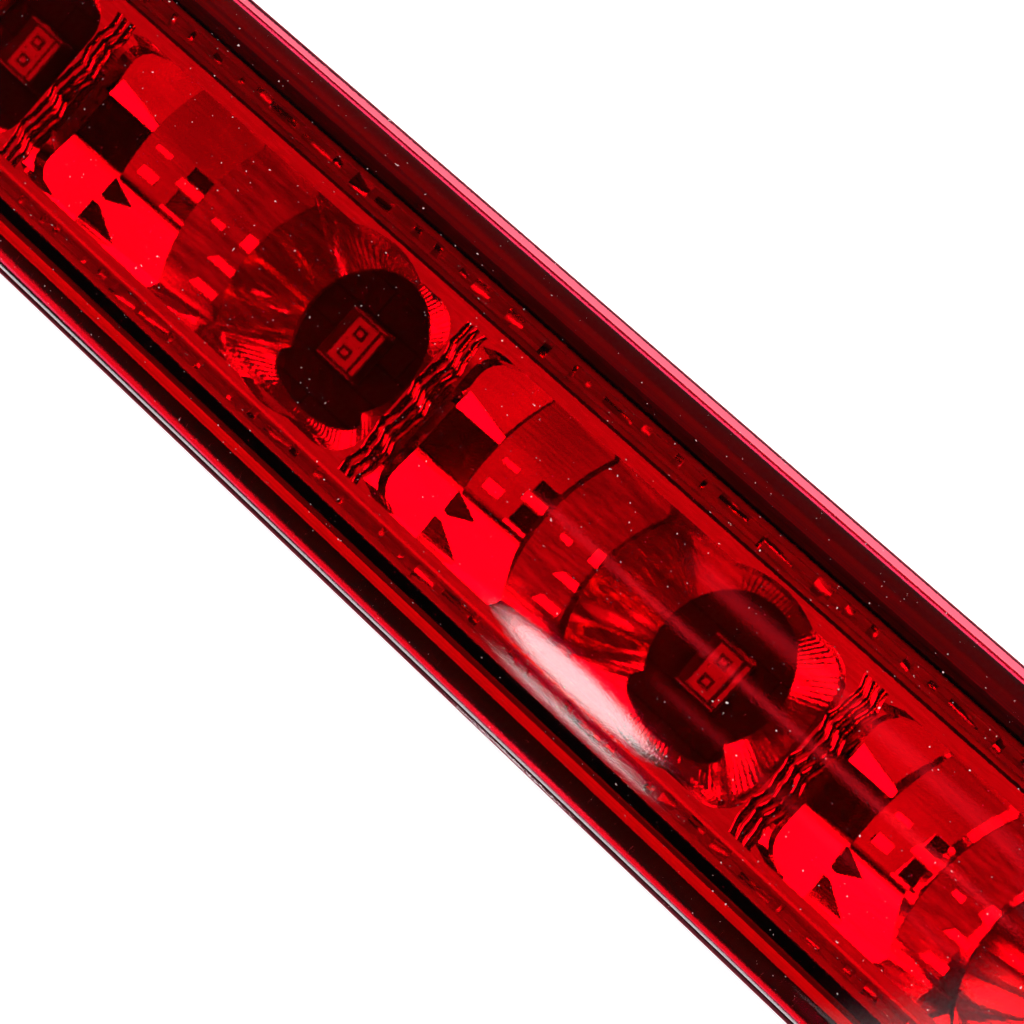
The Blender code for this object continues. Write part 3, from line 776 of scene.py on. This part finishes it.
def led(name, materials):
    """A surface-mount LED: a package with a sunk window, two chips, plated ends and their solder."""
    low, high = box_mm(name)
    x = (low.x + high.x) / 2
    body, plate, chip, solder = range(4)
    half_x, half_y, top = (high.x - low.x) / 2, high.y, high.z
    bm = bmesh.new()
    # Half sizes and heights of the outline, from the foot over the rim and down into the window
    levels = [(half_x, half_y, BOARD_TOP + 0.05), (half_x, half_y, top - 0.08),
              (half_x - 0.08, half_y - 0.08, top), (0.94, 1.62, top), (0.90, 1.58, top - 0.03),
              (0.84, 1.52, top - 0.16)]
    loops = []
    for reach_x, reach_y, z in levels:
        signs = ((-1, -1), (1, -1), (1, 1), (-1, 1))
        loops.append([bm.verts.new((x + a * reach_x, b * reach_y, z)) for a, b in signs])
    for a, b in zip(loops, loops[1:]):
        for k in range(4):
            bm.faces.new((a[k], a[(k + 1) % 4], b[(k + 1) % 4], b[k])).material_index = body
    bm.faces.new(loops[-1]).material_index = plate
    for side in (-1, 1):
        block(bm, (x, side * 0.74, top - 0.12), (0.84, 0.78, 0.12), 0.03, chip)
        block(bm, (x, side * 0.74, top - 0.05), (0.4, 0.34, 0.03), 0.01, plate)
        block(bm, (x, side * (half_y - 0.04), top - 0.6), (half_x * 1.9, 0.07, 1.2), 0.02, plate)
        block(bm, (x, side * (half_y + 0.05), BOARD_TOP + 0.12), (half_x * 1.9, 0.1, 0.24), 0.03, solder)
        block(bm, (x + side * 0.5, 0.0, top - 0.13), (0.16, 0.16, 0.06), 0.02, solder)
    block(bm, (x + half_x - 0.22, 0.0, top - 0.01), (0.3, 3.0, 0.06), 0.02, plate)
    bmesh.ops.recalc_face_normals(bm, faces=bm.faces)
    made = piece(f"{name}_package", bm, materials, 40)
    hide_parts(name)


def refined(name, made_of, bevel_mm):
    """A CAD node's shape with its edges rounded, in a better material."""
    bm = bmesh.new()
    bm.from_mesh(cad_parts[name].data)
    bmesh.ops.scale(bm, vec=(1 / MM,) * 3, verts=bm.verts)
    bmesh.ops.remove_doubles(bm, verts=bm.verts, dist=0.001)
    bmesh.ops.dissolve_limit(bm, angle_limit=math.radians(1), verts=bm.verts, edges=bm.edges)
    sharp = [e for e in bm.edges if len(e.link_faces) == 2 and e.calc_face_angle(0) > math.radians(40)]
    bmesh.ops.bevel(bm, geom=sharp, offset=bevel_mm, segments=2, affect="EDGES", profile=0.5,
                    clamp_overlap=True)
    for face in bm.faces:
        face.material_index = 0
    made = piece(f"{name}_finished", bm, [made_of])
    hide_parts(name)


def socket_screw(name, made_of):
    """A pan-head screw with a hexagon socket, a threaded shank and a chamfered tip."""
    low, high = box_mm(name)
    middle = (low + high) / 2
    head = (high.x - low.x) / 2
    shank, socket, depth, seat = head * 0.52, head * 0.42, 0.8, high.z - 1.5
    thread_root, thread_pitch = shank * 0.84, 0.35
    tiny = 0.01  # radius of the first and last ring, each closed with a face
    steps = 36

    def hexagon(angle):
        """The socket's outline as a share of its corner radius."""
        corner = math.pi / 3
        return math.cos(corner / 2) / math.cos((angle % corner) - corner / 2)

    def even(angle):
        """A round outline."""
        return 1.0

    profile = [(tiny, high.z - depth, hexagon), (socket, high.z - depth, hexagon),
               (socket, high.z - 0.06, hexagon), (socket * 1.12, high.z, hexagon),
               (head * 0.62, high.z, even), (head * 0.85, high.z - 0.15, even),
               (head * 0.97, high.z - 0.45, even), (head, high.z - 0.9, even), (head, seat, even),
               (shank, seat, even)]
    turns = int((seat - low.z - 0.6) / thread_pitch)
    for turn in range(turns):
        z = seat - 0.1 - thread_pitch * turn
        profile += [(shank, z, even), (thread_root, z - 0.16, even)]
    profile += [(thread_root, low.z + 0.3, even), (shank * 0.4, low.z, even), (tiny, low.z, even)]
    bm = bmesh.new()
    rings = []
    for radius, z, outline in profile:
        ring = []
        for step in range(steps):
            angle = 2 * math.pi * step / steps
            reach = radius * outline(angle)
            x, y = middle.x + reach * math.cos(angle), middle.y + reach * math.sin(angle)
            ring.append(bm.verts.new((x, y, z)))
        rings.append(ring + ring[:1])
    grid(bm, rings)
    bmesh.ops.remove_doubles(bm, verts=bm.verts, dist=0.0005)
    for ring in (rings[0], rings[-1]):
        bmesh.ops.contextual_create(bm, geom=[v for v in ring[:-1] if v.is_valid])
    bmesh.ops.recalc_face_normals(bm, faces=bm.faces)
    made = piece(f"{name}_finished", bm, [made_of], 30)
    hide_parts(name)


# ---------------------------------------------------------------- studio

CEILING = 0.9  # height of the lamps above the table, in metres


def panel(name, low, high, radiance, shape="RECTANGLE", colour=(1.0, 1.0, 1.0)):
    """A flat lamp overhead, facing down, between two corners given as metres along and across."""
    data = bpy.data.lights.new(name, "AREA")
    data.shape = shape
    data.color = colour
    data.size = high[0] - low[0]
    data.size_y = high[1] - low[1]
    data.energy = radiance * data.size * data.size_y * math.pi
    lamp = bpy.data.objects.new(name, data)
    lamp.location = ((low[0] + high[0]) / 2, (low[1] + high[1]) / 2, CEILING)
    bpy.context.scene.collection.objects.link(lamp)


def softbox(name, low, high, radiance, gap_side):
    """A diffuser overhead: brighter away from its edge at the dark gap, and streaky.

    gap_side is 1 for a diffuser on the +Y side of the gap, and -1 on the other.
    """
    bm = bmesh.new()
    corners = [(low[0], low[1]), (low[0], high[1]), (high[0], high[1]), (high[0], low[1])]
    bm.faces.new([bm.verts.new((x, y, CEILING)) for x, y in corners])
    mesh = bpy.data.meshes.new(name)
    bm.to_mesh(mesh)
    bm.free()
    made = bpy.data.materials.new(name)
    made.use_nodes = True
    nodes, links = made.node_tree.nodes, made.node_tree.links
    nodes.clear()
    place = nodes.new("ShaderNodeTexCoord")
    split = nodes.new("ShaderNodeSeparateXYZ")
    links.new(place.outputs["Object"], split.inputs["Vector"])
    ease = nodes.new("ShaderNodeMapRange")
    ease.interpolation_type = "SMOOTHSTEP"
    ease.inputs["From Min"].default_value = gap_side * 0.06
    ease.inputs["From Max"].default_value = gap_side * 0.44
    ease.inputs["To Min"].default_value = 0.22
    links.new(split.outputs["Y"], ease.inputs["Value"])
    streaks = nodes.new("ShaderNodeTexNoise")
    streaks.inputs["Scale"].default_value = 9.0
    streaks.inputs["Detail"].default_value = 4.0
    links.new(place.outputs["Object"], streaks.inputs["Vector"])
    strength = spread(nodes, links, streaks.outputs["Fac"], radiance * 0.1, radiance * 1.9)
    product = nodes.new("ShaderNodeMath")
    product.operation = "MULTIPLY"
    links.new(ease.outputs["Result"], product.inputs[0])
    links.new(strength, product.inputs[1])
    glow = nodes.new("ShaderNodeEmission")
    links.new(product.outputs["Value"], glow.inputs["Strength"])
    surface = nodes.new("ShaderNodeOutputMaterial")
    links.new(glow.outputs["Emission"], surface.inputs["Surface"])
    mesh.materials.append(made)
    lamp = bpy.data.objects.new(name, mesh)
    bpy.context.scene.collection.objects.link(lamp)
    lamp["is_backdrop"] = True


def lamps():
    """Two diffusers with a dark gap between them, two side panels, two small lamps and red strips."""
    softbox("key_softbox", (0.19, 0.09), (1.9, 1.3), 9.0, 1)
    softbox("fill_softbox", (0.19, -1.3), (1.9, -0.10), 1.25, -1)
    panel("side_panel_far", (-2.6, 0.22), (-1.0, 1.3), 9.0)
    panel("side_panel_near", (-2.6, -1.3), (-1.0, -0.22), 9.0)
    panel("small_lamp", (-0.155, -0.525), (-0.035, -0.385), 12.0, "ELLIPSE")
    panel("thin_lamp", (-0.16, -0.648), (-0.02, -0.618), 12.0, "ELLIPSE")
    red = (1.0, 0.02, 0.04)
    panel("strip_middle", (-0.17, 0.022), (0.18, 0.042), 8.0, colour=red)
    panel("strip_upper", (-0.08, 0.225), (0.18, 0.30), 3.2, colour=red)
    panel("strip_lower", (-0.05, -0.215), (0.18, -0.185), 2.4, colour=red)


def sky():
    """A dim room: pale where the camera looks straight at it, dark in reflections."""
    world = bpy.data.worlds.new("studio")
    world.use_nodes = True
    nodes, links = world.node_tree.nodes, world.node_tree.links
    place = nodes.new("ShaderNodeTexCoord")
    split = nodes.new("ShaderNodeSeparateXYZ")
    links.new(place.outputs["Generated"], split.inputs["Vector"])
    greys = [(0.0, (0.03,) * 3), (0.5, (0.02,) * 3), (1.0, (0.01,) * 3)]
    shade = ramp(nodes, links, split.outputs["Z"], greys)
    mix = nodes.new("ShaderNodeMix")
    mix.data_type = "RGBA"
    seen = nodes.new("ShaderNodeLightPath")
    links.new(seen.outputs["Is Camera Ray"], mix.inputs["Factor"])
    links.new(shade, mix.inputs["A"])
    mix.inputs["B"].default_value = (0.92, 0.92, 0.93, 1.0)
    links.new(mix.outputs["Result"], nodes["Background"].inputs["Color"])
    bpy.context.scene.world = world


def floor():
    """A white light table that glows a little, so the lamp casts hardly any shadow on it.

    Mirror reflections see it dark, as in a dark room, apart from a narrow pale strip beside the lamp.
    """
    strip_y, strip_half = -0.021, 0.010
    bm = bmesh.new()
    bmesh.ops.create_grid(bm, x_segments=1, y_segments=1, size=20.0)
    mesh = bpy.data.meshes.new("floor")
    bm.to_mesh(mesh)
    bm.free()
    made, nodes, links, shader = new_material("pale_table")
    cloud = noise_value(nodes, links, (0.002, 0.002, 0.002))
    greys = [(0.3, (0.56,) * 3), (0.7, (0.60,) * 3)]
    links.new(ramp(nodes, links, cloud, greys), shader.inputs["Base Color"])
    shader.inputs["Roughness"].default_value = 0.7
    shader.inputs["Emission Color"].default_value = (1.0, 1.0, 1.0, 1.0)
    shader.inputs["Emission Strength"].default_value = 0.7
    dark = nodes.new("ShaderNodeBsdfDiffuse")
    dark.inputs["Color"].default_value = (0.015, 0.015, 0.015, 1.0)
    mix = nodes.new("ShaderNodeMixShader")
    seen = nodes.new("ShaderNodeLightPath")
    mirrored = nodes.new("ShaderNodeMath")
    mirrored.operation = "MULTIPLY"
    links.new(seen.outputs["Is Glossy Ray"], mirrored.inputs[0])
    links.new(seen.outputs["Is Reflection Ray"], mirrored.inputs[1])
    place = nodes.new("ShaderNodeTexCoord")
    split = nodes.new("ShaderNodeSeparateXYZ")
    links.new(place.outputs["Object"], split.inputs["Vector"])
    strip = nodes.new("ShaderNodeMath")
    strip.operation = "COMPARE"
    strip.inputs[1].default_value = strip_y
    strip.inputs[2].default_value = strip_half
    links.new(split.outputs["Y"], strip.inputs[0])
    outside = nodes.new("ShaderNodeMath")
    outside.operation = "SUBTRACT"
    outside.use_clamp = True
    links.new(mirrored.outputs["Value"], outside.inputs[0])
    links.new(strip.outputs["Value"], outside.inputs[1])
    links.new(outside.outputs["Value"], mix.inputs["Fac"])
    links.new(shader.outputs["BSDF"], mix.inputs[1])
    links.new(dark.outputs["BSDF"], mix.inputs[2])
    links.new(mix.outputs["Shader"], nodes["Material Output"].inputs["Surface"])
    mesh.materials.append(made)
    ground = bpy.data.objects.new("floor", mesh)
    ground.location.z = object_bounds()[0][2] - 0.0002
    bpy.context.scene.collection.objects.link(ground)
    ground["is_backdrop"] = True


def camera():
    """Looks down on the middle of the row from its +X side, with the lamp running to the lower right."""
    tip, lean, roll = math.radians(12.1), math.radians(3.0), math.radians(42.35)
    target = Vector((7.56, -1.1, 14.0)) * MM
    distance = 103.6 * MM
    back = Vector((math.sin(tip), math.sin(lean) * math.cos(tip), math.cos(tip) * math.cos(lean)))
    back.normalize()
    along = (Vector((1, 0, 0)) - back.x * back).normalized()
    sideways = back.cross(along)
    right = math.cos(roll) * along + math.sin(roll) * sideways
    up = -math.sin(roll) * along + math.cos(roll) * sideways
    turn = Matrix((right, up, back)).transposed().to_4x4()
    data = bpy.data.cameras.new("camera")
    data.lens = 60.0
    data.sensor_width = 36.0
    data.clip_start = 0.005
    seen = bpy.data.objects.new("camera", data)
    seen.matrix_world = Matrix.Translation(target + back * distance) @ turn
    bpy.context.scene.collection.objects.link(seen)
    bpy.context.scene.camera = seen


camera()
lamps()
sky()
floor()
finishes = [metallised("metallised_mirror", 1.0, 0.76, 0.88, (0.02, 0.09), 0.2, 0.006),
            metallised("metallised_band", 0.1, 0.8, 0.97, (0.15, 0.4), 0.12, 0.02),
            metallised("metallised_bowl", 0.75, 0.4, 0.95, (0.04, 0.15), 0.25, 0.010),
            metallised("metallised_tray", 0.3, 0.7, 1.0, (0.12, 0.3), 0.3, 0.05)]
pockets = reflector(finishes)
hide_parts("reflector")
reflector_tray([finishes[TRAY_SATIN], finishes[BAND_SATIN], finishes[MIRROR]])
# The lens's last three finishes are painted shade (dark, dark red) and painted light (bright).
lens([red_plastic("red_acrylic", (0.82, 0.008, 0.05)), red_plastic("red_acrylic_rim", (0.94, 0.13, 0.19)),
      painted_light_and_shade("painted_shade_dark", (0.010, 0.001, 0.001), (0.034, 0.002, 0.002)),
      painted_light_and_shade("painted_shade_red", (0.07, 0.002, 0.002), (0.20, 0.005, 0.005)),
      painted_light_and_shade("painted_light_bright", (0.75, 0.01, 0.012), (1.0, 0.02, 0.03))])
led_looks = [moulded("led_body", (0.045, 0.02, 0.018), (0.35, 0.5), 0.004),
             moulded("led_plate", (0.85, 0.84, 0.78), (0.2, 0.35), 0.002, wear=1.05),
             moulded("led_chip", (0.07, 0.03, 0.03), (0.2, 0.3), 0.002),
             metal("solder", (0.72, 0.72, 0.72), 0.15, 0.35, (2.0, 2.0, 2.0))]
for led_name in LED_NODES:
    led(led_name, led_looks)
case = moulded("case_black", (0.012, 0.012, 0.013), (0.38, 0.6))
refined("housing", case, 0.2)
bead = moulded("sealing_bead", (0.02, 0.02, 0.02), (0.35, 0.5), 0.03, 0.6, 1.2)
refined("lens_seal", bead, 0.15)
steel = metal("zinc_plated_steel", (0.62, 0.62, 0.60), 0.18, 0.42, (1.0, 9.0, 1.0))
foam = moulded("closed_cell_foam", (0.045, 0.045, 0.047), (0.8, 1.0), 0.09, 0.35, 1.5)
refined("back_gasket", foam, 0.3)
socket_plastic = moulded("socket_plastic", (0.03, 0.03, 0.031), (0.35, 0.55), 0.015)
refined("connector_shell", socket_plastic, 0.2)
rubber = moulded("smooth_rubber", (0.03, 0.03, 0.034), (0.5, 0.7), 0.01)
refined("connector_seal", rubber, 0.15)
vent_plastic = moulded("vent_plastic", (0.24, 0.24, 0.25), (0.5, 0.7), 0.02, wear=1.25)
refined("vent_plug", vent_plastic, 0.15)
can = metal("drawn_aluminium", (0.72, 0.72, 0.74), 0.18, 0.35, (1.0, 1.0, 8.0))
refined("filter_capacitor", can, 0.25)
block_plastic = moulded("epoxy_block", (0.02, 0.02, 0.02), (0.4, 0.6), 0.01)
contact = metal("tinned_brass", (0.80, 0.76, 0.64), 0.12, 0.3, (1.0, 1.0, 6.0))
ceramic = moulded("chip_ceramic", (0.02, 0.02, 0.026), (0.25, 0.4), 0.004)
lacquer = solder_mask()
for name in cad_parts:
    if name in ("polarity_diode", "surge_suppressor"):
        refined(name, block_plastic, 0.12)
    elif name.startswith("connector_pin"):
        refined(name, contact, 0.1)
    elif name.startswith("resistor_"):
        refined(name, ceramic, 0.06)
    elif name.startswith("mounting_bush"):
        refined(name, steel, 0.12)
    elif name.startswith(("board_screw", "reflector_screw")):
        socket_screw(name, steel)
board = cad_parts["circuit_board"]
board.data.materials.clear()
board.data.materials.append(lacquer)
bpy.context.scene.view_settings.view_transform = "Standard"
